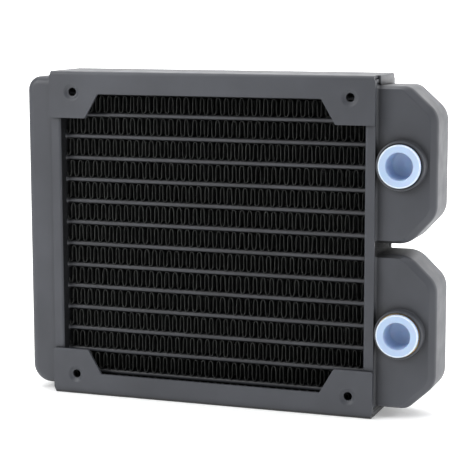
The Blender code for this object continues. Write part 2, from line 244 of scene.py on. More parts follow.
def turned(bm, profile, steps, centre, thread=None):
    """A closed skin turned about a line along Y, from (radius, y) points. A thread runs where it says."""
    rings = []
    for row, (radius, y) in enumerate(profile):
        ring = []
        for i in range(steps):
            angle = 2 * math.pi * i / steps
            grown = radius
            if thread and thread[0] <= row < thread[1]:
                phase = (y / THREAD_PITCH + angle / (2 * math.pi)) % 1
                grown += THREAD_DEPTH * (1 - abs(2 * phase - 1))
            place_at = (centre.x + grown * math.cos(angle), y, centre.z + grown * math.sin(angle))
            ring.append(Vector(place_at))
        rings.append(ring)
    loft(bm, rings + [rings[0]] if profile[0][0] > WELD else rings)
    bmesh.ops.remove_doubles(bm, verts=bm.verts, dist=WELD / 10)
    bmesh.ops.recalc_face_normals(bm, faces=bm.faces)


# ---------------------------------------------------------------- materials


class Shader:
    """A Principled material with a few short ways to add nodes."""

    def __init__(self, name):
        self.material = bpy.data.materials.new(name)
        self.material.use_nodes = True
        self.tree = self.material.node_tree
        self.surface = self.tree.nodes["Principled BSDF"]
        self.place = self.node("ShaderNodeTexCoord").outputs["Object"]

    def node(self, kind, **settings):
        made = self.tree.nodes.new(kind)
        for key, value in settings.items():
            setattr(made, key, value)
        return made

    def link(self, output, target):
        self.tree.links.new(output, target)

    def set(self, **values):
        for socket, value in values.items():
            self.surface.inputs[socket.replace("_", " ")].default_value = value

    def noise(self, feature_mm, detail=3, roughness=0.5, stretch=(1, 1, 1)):
        """Noise whose blobs are about as wide as feature_mm."""
        mapping = self.node("ShaderNodeMapping")
        mapping.inputs["Scale"].default_value = stretch
        self.link(self.place, mapping.inputs["Vector"])
        made = self.node("ShaderNodeTexNoise")
        made.inputs["Scale"].default_value = 1 / (feature_mm * MM)
        made.inputs["Detail"].default_value = detail
        made.inputs["Roughness"].default_value = roughness
        self.link(mapping.outputs["Vector"], made.inputs["Vector"])
        return made.outputs["Fac"]

    def ramp(self, fac, *stops):
        """A colour ramp through (position, colour) stops."""
        made = self.node("ShaderNodeValToRGB")
        elements = made.color_ramp.elements
        while len(elements) < len(stops):
            elements.new(0.5)
        for element, (position, colour) in zip(elements, stops):
            element.position = position
            element.color = (*colour, 1)
        self.link(fac, made.inputs["Fac"])
        return made.outputs["Color"]

    def spread(self, fac, low, high):
        """The value from 0.3 to 0.7, spread over low to high."""
        made = self.node("ShaderNodeMapRange")
        made.inputs["From Min"].default_value = 0.3
        made.inputs["From Max"].default_value = 0.7
        made.inputs["To Min"].default_value = low
        made.inputs["To Max"].default_value = high
        self.link(fac, made.inputs["Value"])
        return made.outputs["Result"]

    def product(self, colour, tint):
        made = self.node("ShaderNodeMix", data_type="RGBA", blend_type="MULTIPLY")
        made.inputs["Factor"].default_value = 1
        self.link(colour, made.inputs["A"])
        self.link(tint, made.inputs["B"])
        return made.outputs["Result"]

    def painted_crease_shade(self, reach_mm, darkest):
        """A painted shade: a tint that is darkest where other surfaces stand close, in creases, corners and
        gaps.
        """
        made = self.node("ShaderNodeAmbientOcclusion", samples=8)
        made.inputs["Distance"].default_value = reach_mm * MM
        return self.ramp(made.outputs["AO"], (0.35, (darkest,) * 3), (0.85, (1, 1, 1)))

    def bump(self, height, depth_mm, strength=1.0, under=None):
        made = self.node("ShaderNodeBump")
        made.inputs["Strength"].default_value = strength
        made.inputs["Distance"].default_value = depth_mm * MM
        self.link(height, made.inputs["Height"])
        if under:
            self.link(under, made.inputs["Normal"])
        return made.outputs["Normal"]


def grey(value, blue=1.25):
    """A grey that leans towards blue."""
    return (value, value * 1.06, value * blue)


def satin_paint():
    """Sprayed satin black over metal: fine orange peel, soft cloudy tone, a little dust, and painted shade
    where other surfaces stand close.
    """
    s = Shader("satin_black_paint")
    clouds = s.ramp(s.noise(22, detail=4), (0.3, grey(0.044)), (0.7, grey(0.057)))
    # Painted shade darkens the paint's cloudy tone in creases and corners.
    s.link(s.product(clouds, s.painted_crease_shade(4, 0.12)), s.surface.inputs["Base Color"])
    s.link(s.spread(s.noise(6, detail=5), 0.40, 0.52), s.surface.inputs["Roughness"])
    peel = s.bump(s.noise(0.55, detail=2), 0.012, 0.5)
    dust = s.bump(s.ramp(s.noise(1.6, detail=1), (0.72, (0, 0, 0)), (0.76, (1, 1, 1))), 0.02, 0.35, peel)
    s.link(dust, s.surface.inputs["Normal"])
    s.set(Specular_IOR_Level=0.5)
    return s.material


def tube_paint():
    """The same paint on the tubes' noses, with painted light by which way each face points: a painted
    highlight a little below the middle of each nose, painted shade over its top and its underside.
    """
    s = Shader("tube_paint")
    facing = s.node("ShaderNodeSeparateXYZ")
    s.link(s.node("ShaderNodeNewGeometry").outputs["Normal"], facing.inputs["Vector"])
    height = s.node("ShaderNodeMapRange")
    height.inputs["From Min"].default_value = -1
    s.link(facing.outputs["Z"], height.inputs["Value"])
    # Painted light: palest a little below the nose's middle, darkest at its top and underside.
    painted_shading = s.ramp(
        height.outputs["Result"],
        (0.12, grey(0.008)), (0.3, grey(0.036)), (0.42, grey(0.048)), (0.62, grey(0.03)), (0.95, grey(0.01)),
    )
    runs = s.ramp(s.noise(3, detail=4, stretch=(0.25, 1, 1)), (0.3, (0.6, 0.6, 0.6)), (0.7, (1, 1, 1)))
    s.link(s.product(painted_shading, runs), s.surface.inputs["Base Color"])
    s.link(s.spread(s.noise(1.2, detail=4), 0.38, 0.6), s.surface.inputs["Roughness"])
    s.link(s.bump(s.noise(1.0, detail=3), 0.05, 0.6), s.surface.inputs["Normal"])
    return s.material


def fin_paint():
    """Black paint misted over the front of the foil. Further in, painted shade takes the foil nearly to
    black.
    """
    s = Shader("fin_paint")
    split = s.node("ShaderNodeSeparateXYZ")
    s.link(s.place, split.inputs["Vector"])
    inwards = s.node("ShaderNodeMapRange")
    front = CENTRE.y + FIN_LOW.y * MM
    inwards.inputs["From Min"].default_value = front
    inwards.inputs["From Max"].default_value = front + 1.6 * MM
    s.link(split.outputs["Y"], inwards.inputs["Value"])
    # Painted shade that deepens from the foil's front edge inwards.
    painted_shading = s.ramp(
        inwards.outputs["Result"],
        (0.1, grey(0.05, 1.0)), (0.35, grey(0.008, 1.0)), (1, grey(0.003)),
    )
    mist = s.ramp(s.noise(1.6, detail=5), (0.35, (0.35, 0.35, 0.35)), (0.65, (1, 1, 1)))
    s.link(s.product(painted_shading, mist), s.surface.inputs["Base Color"])
    s.link(s.spread(s.noise(0.8, detail=3), 0.55, 0.75), s.surface.inputs["Roughness"])
    s.link(s.bump(s.noise(0.7, detail=3), 0.03, 0.5), s.surface.inputs["Normal"])
    s.set(Specular_IOR_Level=0.2)
    return s.material


def shadow_paint():
    """Painted shade: a thin, dull, nearly black finish put on hole walls, on walls facing the core, and on
    the tube plate and solder between the tanks, where only shade falls.
    """
    s = Shader("shadow_paint")
    tone = s.ramp(s.noise(4, detail=4), (0.3, grey(0.006)), (0.7, grey(0.012)))
    s.link(tone, s.surface.inputs["Base Color"])
    s.link(s.spread(s.noise(1.5, detail=3), 0.7, 0.85), s.surface.inputs["Roughness"])
    s.link(s.bump(s.noise(0.8, detail=3), 0.03, 0.5), s.surface.inputs["Normal"])
    s.set(Specular_IOR_Level=0.25)
    return s.material


def gap_shade_paint():
    """Painted shade between the tanks: nearly black and dull near the tube plate, turning back into the satin
    paint further out.
    """
    s = Shader("gap_shade_paint")
    split = s.node("ShaderNodeSeparateXYZ")
    s.link(s.place, split.inputs["Vector"])
    outwards = s.node("ShaderNodeMapRange")
    outwards.inputs["From Min"].default_value = CENTRE.x + (PORT_X - 6) * MM
    outwards.inputs["From Max"].default_value = CENTRE.x + (PORT_X + 4) * MM
    s.link(split.outputs["X"], outwards.inputs["Value"])
    share = outwards.outputs["Result"]
    # Painted shade, darkest near the tube plate and gone further out.
    painted_shading = s.ramp(share, (0.0, grey(0.007)), (1.0, grey(0.05)))
    clouds = s.ramp(s.noise(5, detail=4), (0.3, (0.85, 0.85, 0.85)), (0.7, (1, 1, 1)))
    s.link(s.product(painted_shading, clouds), s.surface.inputs["Base Color"])
    s.link(s.ramp(share, (0.0, (0.85, 0.85, 0.85)), (1.0, (0.46, 0.46, 0.46))), s.surface.inputs["Roughness"])
    s.link(s.bump(s.noise(0.55, detail=2), 0.012, 0.5), s.surface.inputs["Normal"])
    return s.material


def turned_brass():
    """Bare brass with the fine rings that a lathe leaves, and some tarnish."""
    s = Shader("turned_brass")
    tarnish = s.noise(3, detail=5)
    s.link(
        s.ramp(tarnish, (0.3, (0.36, 0.22, 0.08)), (0.7, (0.66, 0.47, 0.22))),
        s.surface.inputs["Base Color"],
    )
    s.link(s.spread(s.noise(0.6, detail=4), 0.22, 0.42), s.surface.inputs["Roughness"])
    s.link(s.bump(s.noise(0.15, detail=1), 0.008, 0.4), s.surface.inputs["Normal"])
    s.set(Metallic=1.0)
    return s.material


def plug_plastic():
    """Soft translucent plastic, with painted light: palest blue on the front face, and a slightly deeper blue
    from just behind it down into the recess.
    """
    s = Shader("plug_plastic")
    split = s.node("ShaderNodeSeparateXYZ")
    s.link(s.place, split.inputs["Vector"])
    depth = s.node("ShaderNodeMapRange")
    front = CENTRE.y + PLUG_LOW.y * MM
    depth.inputs["From Min"].default_value = front + 0.2 * MM
    depth.inputs["From Max"].default_value = front + 8 * MM
    s.link(split.outputs["Y"], depth.inputs["Value"])
    # Painted light and shade by depth: palest at the front, a little deeper blue further back.
    painted_plug_light = s.ramp(
        depth.outputs["Result"],
        (0.0, (0.45, 0.58, 0.78)),
        (0.10, (0.40, 0.52, 0.73)),
        (1.0, (0.44, 0.54, 0.72)),
    )
    s.link(painted_plug_light, s.surface.inputs["Base Color"])
    s.link(s.spread(s.noise(1.5, detail=4), 0.3, 0.45), s.surface.inputs["Roughness"])
    s.link(s.bump(s.noise(0.5, detail=2), 0.01, 0.4), s.surface.inputs["Normal"])
    s.set(Subsurface_Weight=0.25, Subsurface_Scale=0.0015, IOR=1.5)
    return s.material


def bead_plastic():
    """The plugs' raised bead, rubbed nearly white."""
    s = Shader("bead_plastic")
    s.link(
        s.ramp(s.noise(0.9, detail=4), (0.3, (0.62, 0.72, 0.85)), (0.7, (0.80, 0.86, 0.93))),
        s.surface.inputs["Base Color"],
    )
    s.link(s.spread(s.noise(1.5, detail=4), 0.35, 0.5), s.surface.inputs["Roughness"])
    s.link(s.bump(s.noise(0.4, detail=2), 0.015, 0.5), s.surface.inputs["Normal"])
    s.set(IOR=1.5)
    return s.material


def floor_paint():
    """Plain white studio paper with a barely visible grain. Behind the radiator it has a painted glow, from
    emission that grows further back.
    """
    s = Shader("studio_paper")
    s.link(
        s.ramp(s.noise(60, detail=3), (0.3, (0.88, 0.88, 0.88)), (0.7, (0.92, 0.92, 0.92))),
        s.surface.inputs["Base Color"],
    )
    split = s.node("ShaderNodeSeparateXYZ")
    s.link(s.place, split.inputs["Vector"])
    back = s.node("ShaderNodeMapRange")
    back.inputs["From Min"].default_value = -0.1
    back.inputs["From Max"].default_value = 0.5
    s.link(split.outputs["Y"], back.inputs["Value"])
    # Painted glow: emission that is nothing in front and strongest far behind the radiator.
    glow = s.ramp(
        back.outputs["Result"],
        (0.0, (0.0, 0.0, 0.0)), (0.12, (0.22, 0.22, 0.22)), (0.3, (0.3, 0.3, 0.3)), (1.0, (0.62, 0.62, 0.62)),
    )
    s.link(glow, s.surface.inputs["Emission Color"])
    s.set(Roughness=0.9, Emission_Strength=1.0)
    return s.material


# ---------------------------------------------------------------- side channels


FLAT_WEB = HALF_DEPTH - BEND_RADIUS
BEND_LENGTH = BEND_RADIUS * math.pi / 2


def sheet_line(z):
    """How far from the web's middle line a height on the flange lies, along the flat sheet."""
    return FLAT_WEB + BEND_LENGTH + (HALF_HEIGHT - BEND_RADIUS - z)


def folded(x, across, lift):
    """Where a point of the flat sheet goes when the sheet is folded over the core."""
    side = 1 if across >= 0 else -1
    reach = abs(across)
    bent = min(max(reach - FLAT_WEB, 0), BEND_LENGTH)
    turn = bent / BEND_RADIUS
    down = max(reach - FLAT_WEB - BEND_LENGTH, 0)
    y = min(reach, FLAT_WEB) + (BEND_RADIUS + lift) * math.sin(turn)
    z = HALF_HEIGHT - BEND_RADIUS + (BEND_RADIUS + lift) * math.cos(turn) - down
    return Vector((x, side * y, z))


def flat_channel_outline():
    """The channel's blank before it is folded, from the front tabs to the rear ones."""
    tip = sheet_line(TAB_TIP_Z)
    flange = sheet_line(FLANGE_EDGE_Z)
    notch = FLAT_WEB + BEND_LENGTH
    front = [
        (-HALF_LENGTH, -tip, 1.0),
        (-TAB_SLANT_TIP_X, -tip, 0.7),
        (-TAB_SLANT_TOP_X, -flange, 0.5),
        (TAB_SLANT_TOP_X, -flange, 0.5),
        (TAB_SLANT_TIP_X, -tip, 0.7),
        (HALF_LENGTH, -tip, 0.6),
    ]
    back = [(x, -across, radius) for x, across, radius in reversed(front)]
    ends = []
    for side, edge in ((-1, notch + 1.0), (1, notch + 0.8)):
        corner = [(side * HALF_LENGTH, edge, 0.9), (side * (HALF_LENGTH - 0.5), notch - 0.3, 0.5)]
        ends.append(corner + [(x, -across, radius) for x, across, radius in reversed(corner)])
    left_end, right_end = ends
    return rounded_outline(front + right_end[::-1] + back + left_end, 5)


def dimpled_hole(bm, centre):
    """The ring of sheet round a fan hole, drawn inwards, and the collar that its thread is cut in."""
    rows = []
    ring_count = 9
    for i in range(ring_count + 1):
        share = i / ring_count
        radius = DIMPLE_RADIUS + (HOLE_RADIUS + 0.15 - DIMPLE_RADIUS) * share
        drop = -DIMPLE_DEPTH * (1 - math.cos(math.pi * share)) / 2
        rows.append((radius, drop))
    rows.append((HOLE_RADIUS, -DIMPLE_DEPTH - 0.15))
    rows.append((HOLE_RADIUS, -DIMPLE_DEPTH - 1.4))
    rings = [[Vector((p.x, p.y, lift)) for p in circle(centre, radius)] for radius, lift in rows]
    loft(bm, rings)


def side_channel(name, node, flip, paint, painted_shade):
    across = sheet_line(FAN_HOLE_OFFSET)
    centres = [(x, s) for x in (-FAN_HOLE_OFFSET, FAN_HOLE_OFFSET) for s in (-across, across)]
    bm = flat_fill([flat_channel_outline()] + [circle(c, DIMPLE_RADIUS) for c in centres])
    for centre in centres:
        dimpled_hole(bm, centre)
    # The hole walls take the second finish, painted shade.
    for face in bm.faces:
        face.material_index = 1 if face.calc_center_median().z < -DIMPLE_DEPTH - 0.2 else 0
    bmesh.ops.remove_doubles(bm, verts=bm.verts, dist=WELD)
    for side in (-1, 1):
        for step in range(BEND_STEPS + 1):
            line = side * (FLAT_WEB + BEND_LENGTH * step / BEND_STEPS)
            geometry = bm.verts[:] + bm.edges[:] + bm.faces[:]
            bmesh.ops.bisect_plane(bm, geom=geometry, plane_co=(0, line, 0), plane_no=(0, 1, 0))
    for vert in bm.verts:
        vert.co = folded(*vert.co)
    face_away_from(bm, Vector((0, 0, TAB_TIP_Z)))
    if flip:
        bmesh.ops.transform(bm, matrix=Matrix.Scale(-1, 4, (0, 0, 1)), verts=bm.verts)
        bmesh.ops.reverse_faces(bm, faces=bm.faces)
    piece = place(name, bm, [paint, painted_shade], BODY, [node])
    thicken(piece, SHEET)
    break_edges(piece, 0.22)
    even_shading(piece)


def end_flap(name, paint):
    """The top channel's right end, turned down over the tube plate's lip."""
    front, back = -HALF_DEPTH + FLAP_FRONT, HALF_DEPTH - FLAP_BACK
    low, top = HALF_HEIGHT - FLAP_HEIGHT, HALF_HEIGHT - 0.05
    outline = rounded_outline(
        [(front, low, 2.2), (front, top, 0.3), (back, top, 0.8), (back, low, 0.6)], 5
    )
    bm = bmesh.new()
    rings = []
    middle = Vector(((front + back) / 2, (low + top) / 2))
    for beyond_end, shrink in ((-1.2, 0), (0.25, 0), (0.43, 0.07), (0.5, 0.25)):
        scale_y = 1 - 2 * shrink / (back - front)
        scale_z = 1 - 2 * shrink / (top - low)
        rings.append([
            Vector((
                HALF_LENGTH + beyond_end,
                middle.x + (p.x - middle.x) * scale_y,
                middle.y + (p.y - middle.y) * scale_z,
            ))
            for p in outline
        ])
    loft(bm, rings, cap_first=True, cap_last=True)
    face_away_from(bm, Vector((HALF_LENGTH - 0.5, 0, (low + top) / 2)))
    place(name, bm, [paint], BODY, [])


# ---------------------------------------------------------------- tube plates, tubes and fins


def tube_plate(name, node, side, paint, painted_shade):
    """A pressed tray with rounded lips, open towards its tank."""
    bm = bmesh.new()
    size = PLATE_HIGH - PLATE_LOW
    middle = (PLATE_HIGH + PLATE_LOW) / 2
    bmesh.ops.create_cube(bm, size=1, matrix=Matrix.Translation(middle) @ Matrix.Diagonal(size.to_4d()))
    mouth = max(bm.faces, key=lambda face: face.calc_center_median().x)
    bmesh.ops.delete(bm, geom=[mouth], context="FACES_ONLY")
    corners = [edge for edge in bm.edges if len(edge.link_faces) == 2]
    bmesh.ops.bevel(bm, geom=corners, offset=0.9, segments=5, profile=0.5, affect="EDGES")
    if side < 0:
        bmesh.ops.rotate(bm, verts=bm.verts, matrix=Matrix.Rotation(math.pi, 3, "Z"))
    for height in (-GAP_HALF + 0.1, GAP_HALF - 0.1):
        geometry = bm.verts[:] + bm.edges[:] + bm.faces[:]
        bmesh.ops.bisect_plane(bm, geom=geometry, plane_co=(0, 0, height), plane_no=(0, 0, 1))
    piece = place(name, bm, [paint, painted_shade], BODY, [node])
    # Faces between the tanks and faces towards the core take the second finish, painted shade.
    for face in piece.data.polygons:
        in_gap = abs(face.center.z - CENTRE.z) < GAP_HALF * MM and side > 0 and abs(face.normal.y) < 0.7
        to_core = face.normal.x * side < -0.97
        face.material_index = 1 if in_gap or to_core else 0
    thicken(piece, BRASS)
    break_edges(piece, 0.25)
    even_shading(piece)


def stadium_ring(x, depth, thickness, z, steps=10):
    radius = thickness / 2
    ring = []
    for side in (1, -1):
        for step in range(steps + 1):
            angle = math.pi * step / steps
            y = side * (depth / 2 - radius + radius * math.sin(angle))
            ring.append(Vector((x, y, z + side * radius * math.cos(angle))))
    return ring


def flat_tube(node, paint):
    """A flat tube that swells into its solder where it enters the tube plates."""
    low, high = local_box(node)
    z = (low.z + high.z) / 2
    depth = high.y - low.y
    thickness = high.z - low.z
    swelling = ((0.0, 0.9), (0.25, 0.45), (0.6, 0.15), (1.2, 0.0))
    near = [(PLATE_LOW.x - along, grow) for along, grow in swelling]
    stations = [(high.x, 0.0), (PLATE_LOW.x + 0.2, 0.9)] + near
    stations += [(-x, grow) for x, grow in reversed(stations)]
    rings = [stadium_ring(x, depth + grow, thickness + grow, z) for x, grow in stations]
    bm = bmesh.new()
    loft(bm, rings)
    face_away_from(bm, Vector((0, 0, z)))
    piece = place(f"water_tube_{node[-2:]}", bm, [paint], BODY, [node])
    thicken(piece, 0.3)


def fin_path(low, high, steps=8):
    """The foil's path across the strip, as (x, z): upright legs joined by round tops and bottoms."""
    middle_z = (low.z + high.z) / 2
    half_height = (high.z - low.z) / 2 + 0.3
    folds = 2 * random.randint(37, 40)
    pitch = (high.x - low.x) / folds
    legs = [low.x + pitch * i for i in range(folds + 1)]
    for i in range(1, folds):
        legs[i] += random.uniform(-0.12, 0.12) * pitch
    path = []
    for i in range(folds):
        side = 1 if i % 2 else -1
        middle = (legs[i] + legs[i + 1]) / 2
        radius = (legs[i + 1] - legs[i]) / 2
        crown = radius * random.uniform(1.7, 2.6)
        for step in range(steps + 1):
            angle = math.pi * step / steps
            rise = half_height - crown + crown * math.sin(angle)
            path.append((middle - radius * math.cos(angle), middle_z + side * rise))
    return path, steps + 1


def fin_strip(node, paint):
    """Foil folded into round-topped waves that touch both tubes. No two waves are quite alike."""
    low, high = local_box(node)
    path, run = fin_path(low, high)
    front = low.y + 0.1
    bm = bmesh.new()
    rows = []
    for y in (front, (low.y + high.y) / 2, high.y - 0.1):
        wander = 0.12 if y == front else 0.0
        offsets = [random.uniform(-wander, wander) for _ in range(len(path) // run + 1)]
        rows.append([bm.verts.new((x, y + offsets[i // run], z)) for i, (x, z) in enumerate(path)])
    for row, after in zip(rows, rows[1:]):
        for i in range(len(row) - 1):
            bm.faces.new((row[i], row[i + 1], after[i + 1], after[i]))
    bmesh.ops.recalc_face_normals(bm, faces=bm.faces)
    piece = place(f"fins_{node[-2:]}", bm, [paint], BODY, [node], smooth_angle=60)
    modifier = piece.modifiers.new("foil", "SOLIDIFY")
    modifier.thickness = 0.12 * MM
    modifier.offset = 0


# ---------------------------------------------------------------- tanks


def inset_corners(corners, distance, shares):
    """The polygon with its sides moved inwards, each by its own share. The first side is the tank's mouth."""
    count = len(corners)
    lines = []
    for i in range(count):
        start = Vector(corners[i][:2])
        along = (Vector(corners[(i + 1) % count][:2]) - start).normalized()
        inward = Vector((along.y, -along.x))
        lines.append((start + inward * distance * shares[i], along))
    moved = []
    for i in range(count):
        (start, along), (before, before_along) = lines[i], lines[i - 1]
        gap = start - before
        share = gap.cross(along) / before_along.cross(along)
        corner = before + before_along * share
        radius = corners[i][2]
        moved.append((corner.x, corner.y, max(radius - distance, 0.9) if radius else 0))
    return moved


def arc_profile(y_flat, y_side, radius, direction, steps=6):
    """(inset, y) pairs round an edge, from the flat face to the side wall."""
    pairs = []
    for step in range(steps + 1):
        angle = math.pi / 2 * step / steps
        pairs.append((radius * (1 - math.sin(angle)), y_flat + direction * radius * (1 - math.cos(angle))))
    return pairs


def port_tank_profile():
    """A flat face, a soft step to a sloping rim, a tight edge, the side wall and a rounder rear edge."""
    front = -TANK_HALF_DEPTH
    face = [(3.1, front), (2.55, front), (2.4, front + 0.03), (2.25, front + 0.12)]
    rim = [(0.7, front + 1.15), (0.45, front + 1.35), (0.22, front + 1.65), (0.07, front + 2.05)]
    wall = [(0.0, front + 2.5), (0.0, 0.0)]
    rear = [(inset, y) for inset, y in reversed(arc_profile(TANK_HALF_DEPTH, 0, 2.5, -1))]
    return face + rim + wall + rear + [(3.1, TANK_HALF_DEPTH)]


def return_tank_profile():
    front = arc_profile(-TANK_HALF_DEPTH, 0, 2.6, 1)
    rear = [(inset, y) for inset, y in reversed(arc_profile(TANK_HALF_DEPTH, 0, 2.6, -1))]
    return [(3.2, -TANK_HALF_DEPTH)] + front + [(0.0, 0.0)] + rear + [(3.2, TANK_HALF_DEPTH)]


def widen(bm, x, grow, low_z, high_z):
    """Extrudes the open edge to x, and grows it in Y and Z, up to the given heights."""
    rim = [edge for edge in bm.edges if edge.is_boundary]
    heights = [vert.co.z for edge in rim for vert in edge.verts]
    depths = [abs(vert.co.y) for edge in rim for vert in edge.verts]
    middle = (min(heights) + max(heights)) / 2
    half = (max(heights) - min(heights)) / 2
    deep = max(depths)
    made = bmesh.ops.extrude_edge_only(bm, edges=rim)
    for vert in (item for item in made["geom"] if isinstance(item, bmesh.types.BMVert)):
        above = vert.co.z > middle
        reach = min(half + grow, (high_z - middle) if above else (middle - low_z))
        vert.co.x = x
        vert.co.z = middle + (vert.co.z - middle) * reach / half
        vert.co.y *= (deep + grow) / deep


def tank(name, node, corners, shares, profile, brim, turn, paint, painted_shade, hole=None):
    """A pressed shell with a filleted neck and a flat brim. Drawn at +X and turned into place."""
    rings = []
    for inset, y in profile:
        outline = rounded_outline(inset_corners(corners, inset, shares), 8)
        rings.append([Vector((p.x, y, p.y)) for p in outline])
    bm = bmesh.new()
    loft(bm, rings, skip=(0,), cap_first=True, cap_last=True)
    steps = 5
    neck_x = BRIM_X + NECK_FILLET
    done = 0.0
    for step in range(1, steps + 1):
        angle = math.pi / 2 * step / steps
        grown = NECK_FILLET * (1 - math.cos(angle))
        widen(bm, neck_x - NECK_FILLET * math.sin(angle), grown - done, *brim)
        done = grown
    widen(bm, BRIM_X, PLATE_HIGH.y - BRASS - 0.3 - TANK_HALF_DEPTH - done, *brim)
    face_away_from(bm, Vector((BRIM_X, 0, (brim[0] + brim[1]) / 2)))
    bmesh.ops.transform(bm, matrix=turn, verts=bm.verts)
    if turn.determinant() < 0:
        bmesh.ops.reverse_faces(bm, faces=bm.faces)
    piece = place(name, bm, [paint, painted_shade], BODY, [node])
    thicken(piece, BRASS)
    if hole:
        shade_gap(piece)
        modifier = piece.modifiers.new("port hole", "BOOLEAN")
        modifier.operation = "DIFFERENCE"
        modifier.object = hole
    even_shading(piece)


def port_hole(z):
    """The cutter for the hole that a bushing sits in. It isn't shown."""
    bm = bmesh.new()
    radius = NECK_RADIUS + HOLE_CLEARANCE
    place_at = Matrix.Translation((PORT_X, -TANK_HALF_DEPTH, z)) @ Matrix.Rotation(math.pi / 2, 4, "X")
    bmesh.ops.create_cone(
        bm, cap_ends=True, segments=64, radius1=radius, radius2=radius, depth=4, matrix=place_at,
    )
    bmesh.ops.transform(bm, matrix=Matrix.Translation(CENTRE) @ Matrix.Scale(MM, 4), verts=bm.verts)
    mesh = bpy.data.meshes.new("port_hole")
    bm.to_mesh(mesh)
    bm.free()
    cutter = bpy.data.objects.new("port_hole", mesh)
    bpy.context.scene.collection.objects.link(cutter)
    cutter.hide_render = True
    cutter.hide_viewport = True
    return cutter


def port_tank_corners(far, inner_chamfer):
    """The upper tank's outline, from its mouth round to the chamfer next to the gap between the tanks."""
    mouth = BRIM_X + NECK_FILLET
    low, high = PORT_TANK_LOW_Z, PORT_TANK_HIGH_Z
    return [
        (mouth, low, 0),
        (mouth, high, 0),
        (far - OUTER_CHAMFER[0], high, PORT_TANK_SHOULDER_RADIUS),
        (far, high - OUTER_CHAMFER[1], PORT_TANK_FAR_RADIUS),
        (far, low + inner_chamfer[1], PORT_TANK_FAR_RADIUS),
        (far - inner_chamfer[0], low, PORT_TANK_INNER_RADIUS),
    ]


def return_tank_corners():
    mouth = BRIM_X + NECK_FILLET
    half = RETURN_TANK_HALF_Z
    return [
        (mouth, -half, 0),
        (mouth, half, 0),
        (-RETURN_LOW.x, half, RETURN_TANK_TOP_CORNER),
        (-RETURN_LOW.x, -half, RETURN_TANK_LOW_CORNER),
    ]


def shade_gap(piece):
    """The walls that face each other between the two tanks get the second finish, painted shade."""
    for face in piece.data.polygons:
        spot = (face.center - CENTRE) / MM
        if abs(spot.z) < GAP_HALF and abs(face.normal.y) < 0.7:
            face.material_index = 1


def solder_seam(name, side, low_z, high_z, paint, painted_shade):
    """The painted bead of solder between a tank's brim and the tube plate's lip."""
    half_y = PLATE_HIGH.y - BRASS - 0.15
    middle = (low_z + high_z) / 2
    half_z = (high_z - low_z) / 2
    path = rounded_outline(
        [(-half_y, -half_z, 1), (-half_y, half_z, 1), (half_y, half_z, 1), (half_y, -half_z, 1)], 4
    )
    bead = 0.42
    rings = []
    for step in range(10):
        angle = 2 * math.pi * step / 10
        out = bead * math.cos(angle)
        ring = []
        for p in path:
            grow_y = (half_y + out) / half_y
            grow_z = (half_z + out) / half_z
            x = side * (BRIM_X + bead * math.sin(angle))
            ring.append(Vector((x, p.x * grow_y, middle + p.y * grow_z)))
        rings.append(ring)
    bm = bmesh.new()
    loft(bm, rings + [rings[0]])
    bmesh.ops.remove_doubles(bm, verts=bm.verts, dist=WELD)
    bmesh.ops.recalc_face_normals(bm, faces=bm.faces)
    piece = place(name, bm, [paint, painted_shade], BODY, [])
    # Where the seam runs between the tanks it takes painted shade.
    for face in piece.data.polygons:
        in_gap = abs(face.center.z - CENTRE.z) < GAP_HALF * MM and side > 0
        face.material_index = 1 if in_gap else 0


# ---------------------------------------------------------------- ports and plugs


def port_bushing(name, node, paint, brass, bare_within):
    """A turned collar, painted outside and bare brass further in, with a real G1/4 helix in its bore."""
    low, high = local_box(node)
    centre = (low + high) / 2
    front, back = low.y, high.y
    outer = (high.x - low.x) / 2
    collar_back = -TANK_HALF_DEPTH + 0.05
    edge = 0.45
    outside = [
        (SEAT_RADIUS + 0.12, front),
        (outer - edge, front),
        (outer - edge * 0.3, front + edge * 0.3),
        (outer, front + edge),
        (outer, collar_back - 0.6),
        (outer + 0.08, collar_back - 0.25),
        (outer + 0.3, collar_back),
        (NECK_RADIUS, collar_back),
        (NECK_RADIUS, back),
        (THREAD_MINOR, back),
    ]
    seat = front + SEAT_DEPTH
    turns_from, turns_to = back - 0.4, seat + 0.9
    count = 52
    thread_rows = [
        (THREAD_MINOR, turns_from + (turns_to - turns_from) * i / count) for i in range(count + 1)
    ]
    inside = [(THREAD_MINOR + 1.0, seat), (SEAT_RADIUS, seat), (SEAT_RADIUS, front + 0.12)]
    bm = bmesh.new()
    first = len(outside)
    turned(bm, outside + thread_rows + inside, 72, centre, thread=(first, first + count + 1))
    for face in bm.faces:
        spot = face.calc_center_median()
        from_axis = math.hypot(spot.x - centre.x, spot.z - centre.z)
        face.material_index = 1 if from_axis < bare_within and spot.y < back - 0.01 else 0
    place(name, bm, [paint, brass], BODY, [node])


def transit_plug(name, node, body, plastic, bead, proud):
    """A moulded cup with a soft-edged flange, a raised bead round its rim and a drafted recess."""
    low, high = local_box(node)
    centre = (low + high) / 2
    front, tip = low.y - proud, high.y
    back_of_flange = low.y + 1.4
    outer = (high.x - low.x) / 2
    profile = [
        (0.0, front + 8.3),
        (0.7, front + 8.3),
        (0.9, front + 8.5),
        (3.9, front + 8.5),
        (4.4, front + 8.35),
        (4.62, front + 7.9),
        (4.84, front + 0.35),
        (4.89, front + 0.17),
        (5.02, front + 0.1),
        (outer - 0.5, front + 0.1),
        (outer - 0.38, front + 0.03),
        (outer - 0.25, front),
        (outer - 0.12, front + 0.05),
        (outer - 0.04, front + 0.2),
        (outer, front + 0.45),
        (outer, back_of_flange - 0.3),
        (outer - 0.3, back_of_flange),
        (5.7, back_of_flange),
        (5.45, back_of_flange + 0.25),
        (5.4, back_of_flange + 0.6),
        (5.15, tip - 0.5),
        (4.8, tip),
        (0.0, tip),
    ]
    bm = bmesh.new()
    turned(bm, profile, 72, centre)
    for face in bm.faces:
        spot = face.calc_center_median()
        on_bead = math.hypot(spot.x - centre.x, spot.z - centre.z) > outer - 0.48 and spot.y < front + 0.3
        face.material_index = 1 if on_bead else 0
    place(name, bm, [plastic, bead], body, [node], smooth_angle=50)


# ---------------------------------------------------------------- stage


